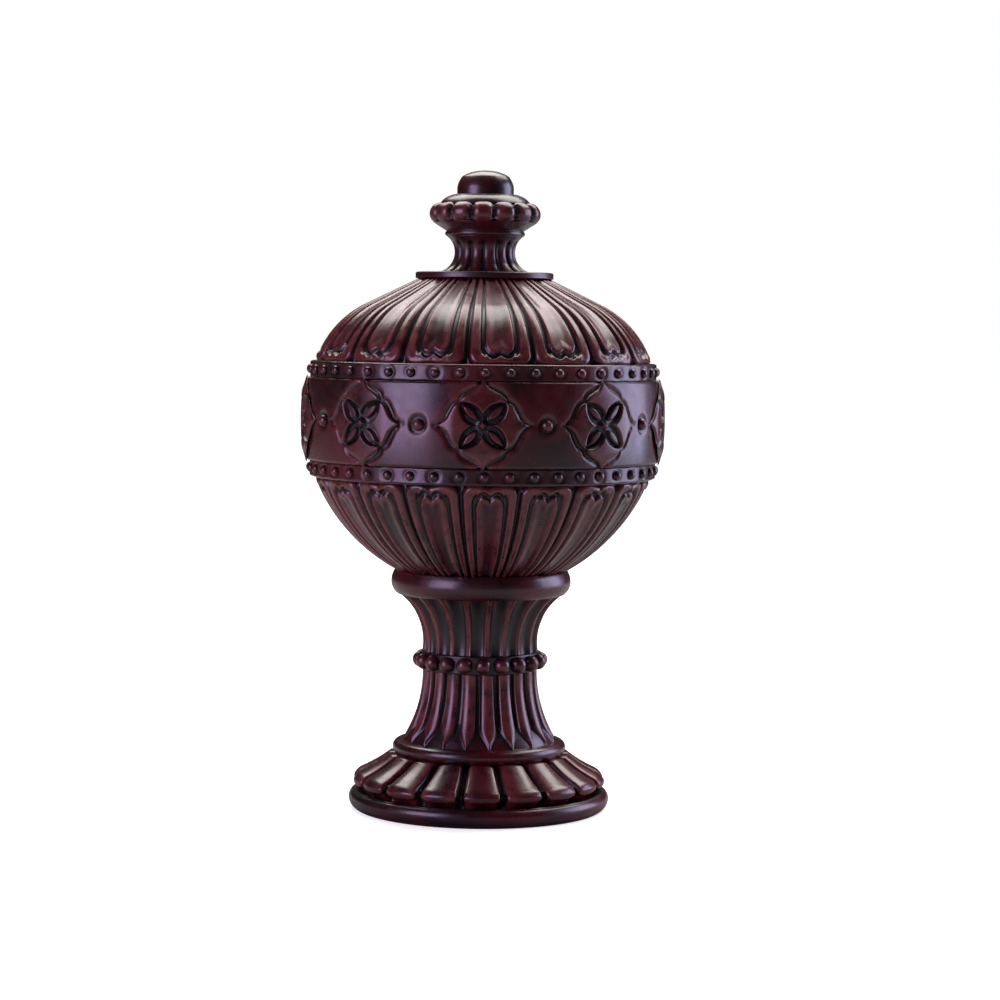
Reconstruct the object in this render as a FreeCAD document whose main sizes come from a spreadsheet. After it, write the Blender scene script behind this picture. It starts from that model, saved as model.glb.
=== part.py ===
import FreeCAD, Part
import math
import os
import Sketcher

# Curtain pole finial: a ball finial cast in one piece, with a brass insert moulded into its underside.
# The origin is the centre of the flat underside and +Z runs up the axis to the dome button.
# Lengths are millimetres, angles are degrees, and turns are counted from the front (-Y) towards +X.

doc = FreeCAD.newDocument("curtain_pole_finial")

# Driving sizes: alias, value, what it measures
sizes = [
    ("seat_radius", 24.6, "flat underside"),
    ("base_rise", 4.6, "height of the rounded base moulding"),
    ("base_radius", 26.0, "widest part of the base moulding"),
    ("base_top_radius", 25.0, "top edge of the base moulding"),
    ("foot_gadroons", 18, "gadroons of the foot"),
    ("foot_turn", 14.0, "turn of the first gadroon"),
    ("foot_groove", 1.1, "depth between the gadroons"),
    ("lip_root_radius", 24.6, "foot where it leaves the base moulding"),
    ("lip_radius", 25.5, "widest part of the foot's lip"),
    ("lip_low_rise", 0.9, "from the base moulding to the widest part of the lip"),
    ("lip_high_rise", 1.9, "from there to the top of the lip"),
    ("lip_top_radius", 23.9, "where the lip turns into the flare"),
    ("flare_rise", 3.6, "height of the flare"),
    ("foot_top_radius", 18.0, "top edge of the flare"),
    ("astragal_rise", 2.6, "height of the ring above the flare"),
    ("astragal_root_radius", 16.6, "lower edge of that ring"),
    ("astragal_radius", 17.3, "widest part of that ring"),
    ("astragal_top_radius", 15.9, "upper edge of that ring"),
    ("ribs", 20, "ribs of the lower stem"),
    ("rib_turn", 8.3, "turn of the first rib"),
    ("rib_gap", 0.95, "depth between the ribs"),
    ("lower_stem_rise", 14.3, "height of the lower stem"),
    ("lower_stem_radius", 15.5, "lower stem where it leaves the ring"),
    ("lower_stem_hollow", 26.5, "arc radius of the lower stem"),
    ("waist_radius", 11.5, "lower stem under the bead ring"),
    ("ring_beads", 20, "beads of the stem's ring"),
    ("ring_bead_turn", 3.4, "turn of the first bead"),
    ("bead_ring_rise", 3.6, "height of the bead ring's band"),
    ("bead_ring_radius", 12.0, "that band between the beads"),
    ("bead_stand", 1.3, "how far a bead stands out of its band"),
    ("bead_rise", 2.7, "height of a bead"),
    ("flutes", 20, "flutes of the upper stem"),
    ("arris_turn", 7.1, "turn of the first arris between flutes"),
    ("flute_depth", 1.1, "depth of a flute"),
    ("upper_waist_radius", 11.6, "upper stem over the bead ring"),
    ("upper_stem_rise", 11.5, "height of the upper stem"),
    ("upper_stem_hollow", 12.0, "arc radius of the upper stem"),
    ("upper_stem_radius", 16.4, "upper stem under the collar"),
    ("collar_rise", 4.7, "height of the smooth collar"),
    ("collar_root_radius", 16.7, "lower edge of the collar"),
    ("collar_radius", 17.9, "widest part of the collar"),
    ("collar_top_radius", 17.4, "upper edge of the collar"),
    ("lower_petals", 18, "petals of the lower bowl"),
    ("lower_petal_turn", 3.2, "turn of the first lower petal"),
    ("lower_bowl_rise", 18.7, "height of the lower bowl"),
    ("lower_bowl_arc", 36.0, "arc radius of the lower bowl"),
    ("bowl_foot_radius", 17.1, "lower bowl where it leaves the collar"),
    ("bowl_rim_radius", 33.4, "both bowls where they meet the strips"),
    ("petal_gap", 1.5, "depth between petals at their wide ends"),
    ("petal_end", 1.9, "height of the rim that closes a petal's wide end"),
    ("petal_groove", 0.8, "depth of the groove inside a petal's rim, at its wide end"),
    ("strip_rise", 3.1, "height of each strip"),
    ("strip_radius", 34.4, "strips between their pearls"),
    ("strip_flats", 45, "flats round each strip"),
    ("band_rise", 16.3, "height of the band"),
    ("band_radius", 35.4, "band between the strips"),
    ("rosettes", 9, "rosettes on the band"),
    ("rosette_turn", 0.4, "turn of the first rosette"),
    ("rosette_tip", 8.7, "middle of a rosette to the tip of an arm"),
    ("rosette_stand", 0.9, "how far a rosette stands out of the band"),
    ("rosette_bury", 2.0, "how far a rosette runs into the band"),
    ("boss_radius", 1.25, "small boss across its base"),
    ("boss_stand", 0.95, "how far a boss stands out of the band"),
    ("upper_petals", 16, "petals of the upper bowl"),
    ("upper_petal_turn", 6.1, "turn of the first upper petal"),
    ("upper_bowl_rise", 11.4, "height of the round part of the upper bowl"),
    ("upper_bowl_arc", 19.5, "arc radius of the upper bowl"),
    ("crown_radius", 23.7, "where the upper bowl turns straight"),
    ("crown_rise", 5.1, "height of its straight part"),
    ("crown_top_radius", 13.2, "upper bowl under the disc"),
    ("disc_radius", 13.65, "thin disc on the bowl"),
    ("disc_rise", 1.3, "thickness of the disc"),
    ("reeds", 14, "reeds of the neck"),
    ("reed_turn", 10.7, "turn of the first reed"),
    ("reed_gap", 0.6, "depth between the reeds"),
    ("neck_rise", 7.1, "height of the neck"),
    ("neck_hollow", 4.0, "arc radius of the neck"),
    ("neck_foot_radius", 9.4, "neck where it leaves the disc"),
    ("neck_top_radius", 7.3, "neck under the ring"),
    ("ring_rise", 1.0, "height of the ring line"),
    ("ring_radius", 7.9, "ring line under the cup"),
    ("cup_rise", 1.7, "height of the cup"),
    ("cup_radius", 9.9, "top of the cup"),
    ("lobes", 14, "lobes of the knob"),
    ("lobe_turn", -2.2, "turn of the first lobe"),
    ("lobe_gap", 1.1, "depth between the lobes"),
    ("knob_rise", 3.8, "height of the lobed knob"),
    ("knob_root_radius", 10.3, "knob where it leaves the cup"),
    ("knob_radius", 11.15, "widest part of the knob"),
    ("knob_top_radius", 9.3, "top edge of the knob"),
    ("shoulder_rise", 1.6, "height of the sloping shoulder"),
    ("shoulder_root_radius", 8.6, "lower edge of the shoulder"),
    ("shoulder_radius", 6.8, "top edge of the shoulder"),
    ("dome_radius", 5.6, "dome button"),
    ("dome_wall_rise", 1.5, "upright part of the button"),
    ("dome_rise", 3.4, "rounded part of the button"),
    ("insert_radius", 6.0, "outside of the brass insert"),
    ("insert_length", 16.0, "length of the insert"),
    ("insert_inset", 0.6, "insert's face above the underside"),
    ("thread_radius", 3.35, "core of the M8 thread"),
    ("thread_length", 13.0, "depth of the threaded hole"),
]

# Tops of the mouldings, each on top of the last
rises = [
    ("base_top", "base_rise"),
    ("lip_middle", "lip_low_rise"),
    ("lip_top", "lip_high_rise"),
    ("foot_top", "flare_rise"),
    ("astragal_top", "astragal_rise"),
    ("lower_stem_top", "lower_stem_rise"),
    ("bead_ring_top", "bead_ring_rise"),
    ("upper_stem_top", "upper_stem_rise"),
    ("collar_top", "collar_rise"),
    ("lower_bowl_top", "lower_bowl_rise"),
    ("lower_strip_top", "strip_rise"),
    ("band_top", "band_rise"),
    ("upper_strip_top", "strip_rise"),
    ("round_bowl_top", "upper_bowl_rise"),
    ("crown_top", "crown_rise"),
    ("disc_top", "disc_rise"),
    ("neck_top", "neck_rise"),
    ("ring_top", "ring_rise"),
    ("cup_top", "cup_rise"),
    ("knob_top", "knob_rise"),
    ("shoulder_top", "shoulder_rise"),
    ("dome_wall_top", "dome_wall_rise"),
    ("dome_top", "dome_rise"),
]

# Arcs of the outline that carry carving: low end, high end, arc radius, 1 where it swells, -1 where hollow
curves = {
    "lower_stem": ("lower_stem_radius", "astragal_top", "waist_radius", "lower_stem_top",
                   "lower_stem_hollow", -1),
    "upper_stem": ("upper_waist_radius", "bead_ring_top", "upper_stem_radius", "upper_stem_top",
                   "upper_stem_hollow", -1),
    "lower_bowl": ("bowl_foot_radius", "collar_top", "bowl_rim_radius", "lower_bowl_top",
                   "lower_bowl_arc", 1),
    "upper_bowl": ("bowl_rim_radius", "upper_strip_top", "crown_radius", "round_bowl_top",
                   "upper_bowl_arc", 1),
    "neck": ("neck_foot_radius", "disc_top", "neck_top_radius", "neck_top", "neck_hollow", -1),
}

# How far wedges run into each other, their inner edge and the core inside them, as shares
wedge_overlap = 0.4
wedge_root = "0.45"
core_share = "0.7"

sheet = doc.addObject("Spreadsheet::Sheet", "Sizes")


def fill_sheet():
    cells = [(alias, str(value), note) for alias, value, note in sizes]
    below = "0"
    for alias, rise in rises:
        cells.append((alias, f"={below} + {rise}", "height of that moulding's top"))
        below = alias
    for name, (low_r, low_z, high_r, high_z, arc, way) in curves.items():
        across = f"({high_r} - {low_r})"
        up = f"({high_z} - {low_z})"
        cells += [
            (f"{name}_chord", f"=sqrt({across}^2 + {up}^2)", "straight line between the arc's ends"),
            (f"{name}_back", f"=sqrt({arc}^2 - {name}_chord^2 / 4)", "from that line to the centre"),
            (f"{name}_centre_r", f"=({low_r} + {high_r}) / 2 - {way} * {name}_back * {up} / {name}_chord",
             "radius of the arc's centre"),
            (f"{name}_centre_z", f"=({low_z} + {high_z}) / 2 + {way} * {name}_back * {across} / {name}_chord",
             "height of the arc's centre"),
        ]
    for number, (alias, content, note) in enumerate(cells, 1):
        sheet.set(f"A{number}", note)
        sheet.set(f"B{number}", content)
        sheet.setAlias(f"B{number}", alias)
    doc.recompute()


def cell(alias):
    return f"Sizes.{alias}"


def origin_part(body, role):
    return [part for part in body.Origin.OriginFeatures if part.Role == role][0]


def new_body(name):
    body = doc.addObject("PartDesign::Body", name)
    body.Label = name
    return body


def new_sketch(body, name, plane):
    sketch = body.newObject("Sketcher::SketchObject", name)
    sketch.AttachmentSupport = [(origin_part(body, plane), "")]
    sketch.MapMode = "FlatFace"
    return sketch


def draw_polygon(sketch, corners):
    # Corners are pairs of expressions, across and up in the sketch, and each corner is pinned by them
    count = len(corners)
    first = sketch.GeometryCount
    rough = [FreeCAD.Vector(math.cos(math.tau * n / count), math.sin(math.tau * n / count), 0)
             for n in range(count)]
    sketch.addGeometry([Part.LineSegment(rough[n], rough[(n + 1) % count]) for n in range(count)], False)
    rules = []
    for number, (across, up) in enumerate(corners):
        edge = first + number
        following = first + (number + 1) % count
        rules.append((Sketcher.Constraint("Coincident", edge, 2, following, 1), None))
        rules.append((Sketcher.Constraint("DistanceX", -1, 1, edge, 1, 1.0), across))
        rules.append((Sketcher.Constraint("DistanceY", -1, 1, edge, 1, 1.0), up))
    start = sketch.ConstraintCount
    sketch.addConstraint([rule for rule, formula in rules])
    for number, (rule, formula) in enumerate(rules, start):
        if formula is not None:
            sketch.setExpression(f"Constraints[{number}]", formula)


def level_sketch(body, name, height, turn):
    # A horizontal sketch at a height, with its x axis turned to face a direction from the front
    sketch = new_sketch(body, name, "XY_Plane")
    sketch.AttachmentOffset = FreeCAD.Placement(FreeCAD.Vector(0, 0, 1),
                                                FreeCAD.Rotation(FreeCAD.Vector(0, 0, 1), 1))
    sketch.setExpression(".AttachmentOffset.Base.z", height)
    sketch.setExpression(".AttachmentOffset.Rotation.Angle", f"({turn} - 90) * 1deg")
    return sketch


def facing_sketch(body, name, radius, turn):
    # An upright sketch that faces outwards at a radius, in a direction from the front
    sketch = new_sketch(body, name, "XZ_Plane")
    sketch.AttachmentOffset = FreeCAD.Placement(FreeCAD.Vector(1, 0, 1),
                                                FreeCAD.Rotation(FreeCAD.Vector(0, 1, 0), 1))
    sketch.setExpression(".AttachmentOffset.Base.x", f"({radius}) * sin({turn})")
    sketch.setExpression(".AttachmentOffset.Base.z", f"({radius}) * cos({turn})")
    sketch.setExpression(".AttachmentOffset.Rotation.Angle", f"({turn}) * 1deg")
    return sketch


def repeat(body, name, count, features=None):
    # Repeats the features round the axis, or else the whole body
    pattern = body.newObject("PartDesign::PolarPattern", name)
    if features:
        pattern.Originals = features
    else:
        pattern.TransformMode = "Whole shape"
    pattern.Axis = (origin_part(body, "Z_Axis"), [""])
    pattern.Angle = 360
    pattern.setExpression("Occurrences", cell(count))
    pattern.Refine = False
    body.Tip = pattern


def turned_body(name, corners):
    # A plain turned moulding: corners are (radius, height) expressions, up its face from the bottom
    body = new_body(name)
    sketch = new_sketch(body, f"{name}_outline", "XZ_Plane")
    draw_polygon(sketch, [("0", corners[0][1])] + corners + [("0", corners[-1][1])])
    revolution = body.newObject("PartDesign::Revolution", f"{name}_turning")
    revolution.Profile = sketch
    revolution.ReferenceAxis = (sketch, ["V_Axis"])
    revolution.Angle = 360
    body.Tip = revolution
    return body


def carved_body(name, count, turn, face, stations):
    # One wedge of a carved moulding, lofted up its stations and repeated round the axis. A station is a
    # radius and a height. The face has the same shape at each: pairs of a share of the half wedge and a
    # share of the radius, from the valley to the middle. The wedges overlap inside the valleys.
    drawing = new_body(f"{name}_sections")
    (edge, edge_depth), rest = face[1], face[1:]
    past = round(1 + wedge_overlap * (1 - edge), 4)
    deep = f"({1 + wedge_overlap} * {face[0][1]} - {wedge_overlap} * {edge_depth})"
    flank = [(past, wedge_root), (past, deep)] + rest
    outline = flank + [(-share, depth) for share, depth in reversed(flank) if share != 0]
    sketches = []
    for number, (radius, height) in enumerate(stations):
        corners = []
        for share, depth in outline:
            angle = f"{share} * 180 / {cell(count)}"
            corners.append((f"{radius} * {depth} * cos({angle})", f"{radius} * {depth} * sin({angle})"))
        sketch = level_sketch(drawing, f"{name}_section_{number}", height, turn)
        draw_polygon(sketch, corners)
        sketches.append(sketch)
    wedge = doc.addObject("Part::Loft", f"{name}_wedge")
    wedge.Sections = sketches
    wedge.Solid = True
    wedge.Ruled = True
    wedge.Linearize = True
    doc.recompute()
    body = new_body(name)
    body.BaseFeature = wedge
    doc.recompute()
    repeat(body, f"{name}_round", count)
    return body


def cut_to(depth, radius):
    # Share of a radius that is left at the bottom of a cut
    return f"(1 - {cell(depth)} / {cell(radius)})"


def curve_point(name, share):
    # Radius and height of the outline at a share of one arc's height
    low_r, low_z, high_r, high_z, arc, way = curves[name]
    height = f"({cell(low_z)} + {share} * ({cell(high_z)} - {cell(low_z)}))"
    reach = f"sqrt({cell(arc)}^2 - ({height} - {cell(name)}_centre_z)^2)"
    return f"({cell(name)}_centre_r + {way} * {reach})", height


def swell_point(low, high, widest, low_top, high_top, share):
    # The same on a rounded moulding, between its two edges
    bow = round(math.sqrt(1 - (2 * share - 1) ** 2), 4)
    line = f"({cell(low)} + {share} * ({cell(high)} - {cell(low)}))"
    base = cell(low_top) if low_top else "0"
    radius = f"({line} + {bow} * ({cell(widest)} - {line}))"
    return radius, f"({base} + {share} * ({cell(high_top)} - {base}))"


def swelling(low, high, widest, low_top, high_top, shares=(0, 0.25, 0.75, 1)):
    return [swell_point(low, high, widest, low_top, high_top, share) for share in shares]


def core():
    # Fills the middle of the carved mouldings, between the plain ones
    tops = [("foot_top_radius", "foot_top"), ("waist_radius", "lower_stem_top"),
            ("upper_waist_radius", "bead_ring_top"), ("bowl_foot_radius", "upper_stem_top"),
            ("bowl_foot_radius", "collar_top"), ("bowl_rim_radius", "lower_bowl_top"),
            ("bowl_rim_radius", "upper_strip_top"), ("crown_top_radius", "crown_top"),
            ("neck_top_radius", "disc_top"), ("neck_top_radius", "neck_top"),
            ("cup_radius", "cup_top"), ("cup_radius", "knob_top")]
    corners = [(f"{core_share} * {cell('foot_top_radius')}", f"0.5 * {cell('base_top')}")]
    corners += [(f"{core_share} * {cell(radius)}", cell(top)) for radius, top in tops]
    return turned_body("core", corners + [(f"{core_share} * {cell('neck_top_radius')}",
                                          f"({cell('knob_top')} + 0.5 * {cell('shoulder_rise')})")])


def base_moulding():
    return turned_body("base_moulding", swelling("seat_radius", "base_top_radius", "base_radius",
                                                 None, "base_top", (0, 0.5, 1)))


def foot():
    # Gadroons that roll over the lip and run up the flare
    return carved_body("foot", "foot_gadroons", cell("foot_turn"), [
        (1, cut_to("foot_groove", "foot_top_radius")),
        (0.78, "1"),
    ], [
        (cell("lip_root_radius"), cell("base_top")),
        (cell("lip_radius"), cell("lip_middle")),
        (cell("lip_top_radius"), cell("lip_top")),
        (cell("foot_top_radius"), cell("foot_top")),
    ])


def astragal():
    return turned_body("astragal", swelling("astragal_root_radius", "astragal_top_radius",
                                            "astragal_radius", "foot_top", "astragal_top", (0, 0.5, 1)))


def lower_stem():
    return carved_body("lower_stem", "ribs", cell("rib_turn"), [
        (1, cut_to("rib_gap", "waist_radius")),
        (0.5, "1"),
    ], [curve_point("lower_stem", share) for share in (0, 0.25, 0.6, 1)])


def bead_ring():
    # Beads side by side, each bevelled above and below
    low = f"({cell('lower_stem_top')} + ({cell('bead_ring_rise')} - {cell('bead_rise')}) / 2)"
    edge = f"({cell('bead_ring_radius')} + 0.2 * {cell('bead_stand')})"
    face = f"({cell('bead_ring_radius')} + {cell('bead_stand')})"
    return carved_body("bead_ring", "ring_beads", cell("ring_bead_turn"), [
        (1, f"({cell('bead_ring_radius')} / {face})"),
        (0.5, "1"),
    ], [
        (edge, cell("lower_stem_top")),
        (face, f"({low} + 0.25 * {cell('bead_rise')})"),
        (face, f"({low} + 0.75 * {cell('bead_rise')})"),
        (edge, cell("bead_ring_top")),
    ])


def upper_stem():
    # Flutes with narrow arrises between them
    return carved_body("upper_stem", "flutes", cell("arris_turn"), [
        (1, cut_to("flute_depth", "upper_waist_radius")),
        (0.16, "1"),
    ], [curve_point("upper_stem", share) for share in (0, 0.4, 0.75, 1)])


def collar():
    return turned_body("collar", swelling("collar_root_radius", "collar_top_radius", "collar_radius",
                                          "upper_stem_top", "collar_top", (0, 0.5, 1)))


def petals(name, count, turn, stations):
    # A rim with a groove inside it, round a flat tongue
    return carved_body(name, count, turn, [
        (1, cut_to("petal_gap", "bowl_rim_radius")),
        (0.77, "1"),
        (0.55, cut_to("petal_groove", "bowl_rim_radius")),
        (0.42, "1"),
    ], stations)


def petal_ends(name, count, turn, stations):
    # The rim runs across the petals' wide ends and closes their grooves
    return carved_body(name, count, turn, [
        (1, cut_to("petal_gap", "bowl_rim_radius")),
        (0.77, "1"),
    ], stations)


def lower_bowl():
    # Petals with their wide ends up
    rim = f"(1 - {cell('petal_end')} / {cell('lower_bowl_rise')})"
    turn = cell("lower_petal_turn")
    return [
        petals("lower_petal_rings", "lower_petals", turn,
               [curve_point("lower_bowl", share) for share in (0, 0.22, 0.55, rim)]),
        petal_ends("lower_petal_ends", "lower_petals", turn,
                   [curve_point("lower_bowl", share) for share in (rim, 1)]),
    ]


def upper_bowl():
    # The same petals with their wide ends down, carried on up the straight crown
    rim = f"({cell('petal_end')} / {cell('upper_bowl_rise')})"
    turn = cell("upper_petal_turn")
    return [
        petal_ends("upper_petal_ends", "upper_petals", turn,
                   [curve_point("upper_bowl", share) for share in (0, rim)]),
        petals("upper_petal_rings", "upper_petals", turn,
               [curve_point("upper_bowl", share) for share in (rim, 0.65, 1)]
               + [(cell("crown_top_radius"), cell("crown_top"))]),
    ]


def strip(name, low, high):
    # One flat for each pearl of the strip
    ring = doc.addObject("Part::Prism", name)
    ring.setExpression("Polygon", cell("strip_flats"))
    ring.setExpression("Circumradius", cell("strip_radius"))
    ring.setExpression("Height", f"{cell(high)} - {cell(low)}")
    ring.setExpression(".Placement.Base.z", cell(low))
    return ring


def turned_point(x, y, angle):
    cosine = math.cos(math.radians(angle))
    sine = math.sin(math.radians(angle))
    return round(x * cosine - y * sine, 5), round(x * sine + y * cosine, 5)


def band():
    # Rosettes of four spade-shaped arms with a sunk bed between each pair, and a boss between rosettes
    body = turned_body("band", [(cell("band_radius"), cell("lower_strip_top")), (cell("band_radius"), cell("band_top"))])
    tip = cell("rosette_tip")
    middle = f"({cell('lower_strip_top')} + {cell('band_rise')} / 2)"
    root = f"({cell('band_radius')} - {cell('rosette_bury')})"
    face = f"({cell('band_radius')} + {cell('rosette_stand')})"
    sketch = facing_sketch(body, "rosette_outline", root, cell("rosette_turn"))
    arm = [(0.62, 0.43), (0.43, 0.62), (0, 1)]
    bed = [(0.12, 0), (0.52, -0.16), (0.52, 0.16)]
    loops = [[turned_point(x, y, 90 * n) for n in range(4) for x, y in arm]]
    loops += [[turned_point(x, y, 45 + 90 * n) for x, y in bed] for n in range(4)]
    for loop in loops:
        draw_polygon(sketch, [(f"{tip} * {x}", f"{middle} + {tip} * {y}") for x, y in loop])
    pad = body.newObject("PartDesign::Pad", "rosette")
    pad.Profile = sketch
    pad.setExpression("Length", f"{face} - {root}")
    pad.Refine = False
    body.Tip = pad
    # Each rosette's face falls to both sides from its middle, so that its tips keep to the band
    fold = f"(2 * {tip} * {tip} / (2 * {face}))"
    trim = level_sketch(body, "rosette_face", f"({middle} + 2 * {tip})", cell("rosette_turn"))
    draw_polygon(trim, [
        (face, "0"),
        (f"{face} - {fold}", f"2 * {tip}"),
        (f"{face} + {tip}", f"2 * {tip}"),
        (f"{face} + {tip}", f"-2 * {tip}"),
        (f"{face} - {fold}", f"-2 * {tip}"),
    ])
    facing = body.newObject("PartDesign::Pocket", "rosette_facing")
    facing.Profile = trim
    facing.setExpression("Length", f"4 * {tip}")
    facing.Refine = False
    body.Tip = facing
    repeat(body, "rosette_ring", "rosettes", [pad, facing])
    ring = facing_sketch(body, "boss_outline", root, f"({cell('rosette_turn')} + 180 / {cell('rosettes')})")
    draw_polygon(ring, [(f"{cell('boss_radius')} * cos({turn})", f"{middle} + {cell('boss_radius')} * sin({turn})")
                        for turn in range(0, 360, 60)])
    boss = body.newObject("PartDesign::Pad", "boss")
    boss.Profile = ring
    boss.setExpression("Length", f"{cell('rosette_bury')} + {cell('boss_stand')}")
    boss.Refine = False
    body.Tip = boss
    repeat(body, "bosses", "rosettes", [boss])
    return body


def disc():
    return turned_body("disc", [(cell("disc_radius"), cell("crown_top")), (cell("disc_radius"), cell("disc_top"))])


def neck():
    return carved_body("neck", "reeds", cell("reed_turn"), [
        (1, cut_to("reed_gap", "neck_foot_radius")),
        (0.5, "1"),
    ], [curve_point("neck", share) for share in (0, 0.15, 0.5, 1)])


def cup():
    return turned_body("cup", [
        (cell("ring_radius"), cell("neck_top")),
        (cell("ring_radius"), cell("ring_top")),
        (cell("cup_radius"), cell("cup_top")),
    ])


def knob():
    return carved_body("knob", "lobes", cell("lobe_turn"), [
        (1, cut_to("lobe_gap", "knob_radius")),
        (0.5, "1"),
    ], swelling("knob_root_radius", "knob_top_radius", "knob_radius", "cup_top", "knob_top"))


def button():
    # The sloping shoulder and the dome on it
    corners = [
        (cell("shoulder_root_radius"), cell("knob_top")),
        (cell("shoulder_radius"), cell("shoulder_top")),
        (cell("dome_radius"), cell("shoulder_top")),
        (cell("dome_radius"), cell("dome_wall_top")),
    ]
    for angle in (45,):
        corners.append((f"{cell('dome_radius')} * cos({angle})",
                        f"{cell('dome_wall_top')} + {cell('dome_rise')} * sin({angle})"))
    corners.append((f"0.25 * {cell('dome_radius')}", cell("dome_top")))
    return turned_body("button", corners)


def insert_bed():
    # The hole in the underside that closes round the insert
    top = f"({cell('insert_inset')} + {cell('insert_length')})"
    return turned_body("insert_bed", [(cell("insert_radius"), "0"), (cell("insert_radius"), top)])


def threaded_insert():
    # Brass, with a blind hole at the core size of its thread
    top = f"({cell('insert_inset')} + {cell('insert_length')})"
    body = turned_body("threaded_insert", [(cell("insert_radius"), cell("insert_inset")), (cell("insert_radius"), top)])
    sketch = new_sketch(body, "thread_core", "XY_Plane")
    sketch.AttachmentOffset = FreeCAD.Placement(FreeCAD.Vector(0, 0, 1), FreeCAD.Rotation())
    sketch.setExpression(".AttachmentOffset.Base.z", cell("insert_inset"))
    sketch.addGeometry(Part.Circle(FreeCAD.Vector(0, 0, 0), FreeCAD.Vector(0, 0, 1), 1), False)
    sketch.addConstraint(Sketcher.Constraint("Coincident", 0, 3, -1, 1))
    radius = sketch.addConstraint(Sketcher.Constraint("Radius", 0, 1.0))
    sketch.setExpression(f"Constraints[{radius}]", cell("thread_radius"))
    hole = body.newObject("PartDesign::Pocket", "thread_hole")
    hole.Profile = sketch
    hole.Reversed = True
    hole.setExpression("Length", cell("thread_length"))
    body.Tip = hole
    return body


fill_sheet()
mouldings = doc.addObject("Part::MultiFuse", "mouldings")
mouldings.Shapes = [
    core(), base_moulding(), foot(), astragal(), lower_stem(), bead_ring(), upper_stem(), collar(),
    *lower_bowl(), strip("lower_strip", "lower_bowl_top", "lower_strip_top"), band(),
    strip("upper_strip", "band_top", "upper_strip_top"), *upper_bowl(), disc(), neck(), cup(), knob(),
    button(),
]
mouldings.Refine = True
casting = doc.addObject("Part::Cut", "finial_casting")
casting.Label = "finial_casting"
casting.Base = mouldings
casting.Tool = insert_bed()
insert = threaded_insert()
doc.recompute()

faulty = [thing.Name for thing in doc.Objects if "Invalid" in thing.State or "Error" in thing.State]
for piece in (casting, insert):
    if piece.Shape.isNull() or not piece.Shape.isValid() or len(piece.Shape.Solids) != 1:
        faulty.append(piece.Label)
if faulty:
    raise RuntimeError(f"failed: {faulty}")

os.makedirs("parts", exist_ok=True)
for piece in (casting, insert):
    piece.Shape.exportStep(f"parts/{piece.Label}.step")
    print(piece.Label, "volume", round(piece.Shape.Volume, 1), "faces", len(piece.Shape.Faces))
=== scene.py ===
import math

import bmesh
import bpy
import numpy as np
from mathutils import Matrix, Vector


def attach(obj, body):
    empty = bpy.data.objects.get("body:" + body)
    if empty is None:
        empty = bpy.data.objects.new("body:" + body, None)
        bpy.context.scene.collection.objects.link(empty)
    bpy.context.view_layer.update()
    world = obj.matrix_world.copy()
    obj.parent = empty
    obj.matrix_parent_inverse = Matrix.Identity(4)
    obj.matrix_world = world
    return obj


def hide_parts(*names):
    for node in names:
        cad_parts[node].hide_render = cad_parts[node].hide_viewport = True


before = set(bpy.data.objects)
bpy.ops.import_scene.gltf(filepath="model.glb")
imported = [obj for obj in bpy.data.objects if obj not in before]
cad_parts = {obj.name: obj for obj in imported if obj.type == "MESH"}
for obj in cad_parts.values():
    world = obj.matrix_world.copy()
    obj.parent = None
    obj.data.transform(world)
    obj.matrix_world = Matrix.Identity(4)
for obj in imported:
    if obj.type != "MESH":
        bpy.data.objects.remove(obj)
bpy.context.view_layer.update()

# Shapes are worked out in millimetres and scaled when they become a mesh
mm = 0.001

scene = bpy.context.scene


# Shader helpers


def addNode(tree, kind, **values):
    node = tree.nodes.new(kind)
    for key, value in values.items():
        setattr(node, key, value)
    return node


def fillSocket(tree, socket, value):
    if hasattr(value, "is_output"):
        tree.links.new(value, socket)
    else:
        socket.default_value = value


def mixColour(tree, share, low, high):
    node = addNode(tree, "ShaderNodeMix", data_type="RGBA")
    for socket, value in ((node.inputs["Factor"], share), (node.inputs[6], low), (node.inputs[7], high)):
        fillSocket(tree, socket, value)
    return node.outputs[2]


def mixValue(tree, share, low, high):
    node = addNode(tree, "ShaderNodeMix", data_type="FLOAT")
    for socket, value in ((node.inputs["Factor"], share), (node.inputs[2], low), (node.inputs[3], high)):
        fillSocket(tree, socket, value)
    return node.outputs[0]


def calculate(tree, operation, first, second):
    node = addNode(tree, "ShaderNodeMath", operation=operation)
    fillSocket(tree, node.inputs[0], first)
    fillSocket(tree, node.inputs[1], second)
    return node.outputs[0]


def remap(tree, value, low, high, outLow=0.0, outHigh=1.0):
    node = addNode(tree, "ShaderNodeMapRange", interpolation_type="SMOOTHSTEP")
    tree.links.new(value, node.inputs["Value"])
    for label, number in (("From Min", low), ("From Max", high), ("To Min", outLow), ("To Max", outHigh)):
        node.inputs[label].default_value = number
    return node.outputs["Result"]


def noise(tree, vector, scale, detail=4.0):
    node = addNode(tree, "ShaderNodeTexNoise")
    tree.links.new(vector, node.inputs["Vector"])
    node.inputs["Scale"].default_value = scale
    node.inputs["Detail"].default_value = detail
    node.inputs["Roughness"].default_value = 0.55
    return node.outputs["Fac"]


def newMaterial(name):
    material = bpy.data.materials.new(name)
    material.use_nodes = True
    return material, material.node_tree, material.node_tree.nodes["Principled BSDF"]


def addBump(tree, shader, height, look):
    bump = addNode(tree, "ShaderNodeBump")
    bump.inputs["Strength"].default_value = look["bump"]
    bump.inputs["Distance"].default_value = look["bumpHeight"]
    tree.links.new(height, bump.inputs["Height"])
    tree.links.new(bump.outputs["Normal"], shader.inputs["Normal"])


# Lacquer

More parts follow.
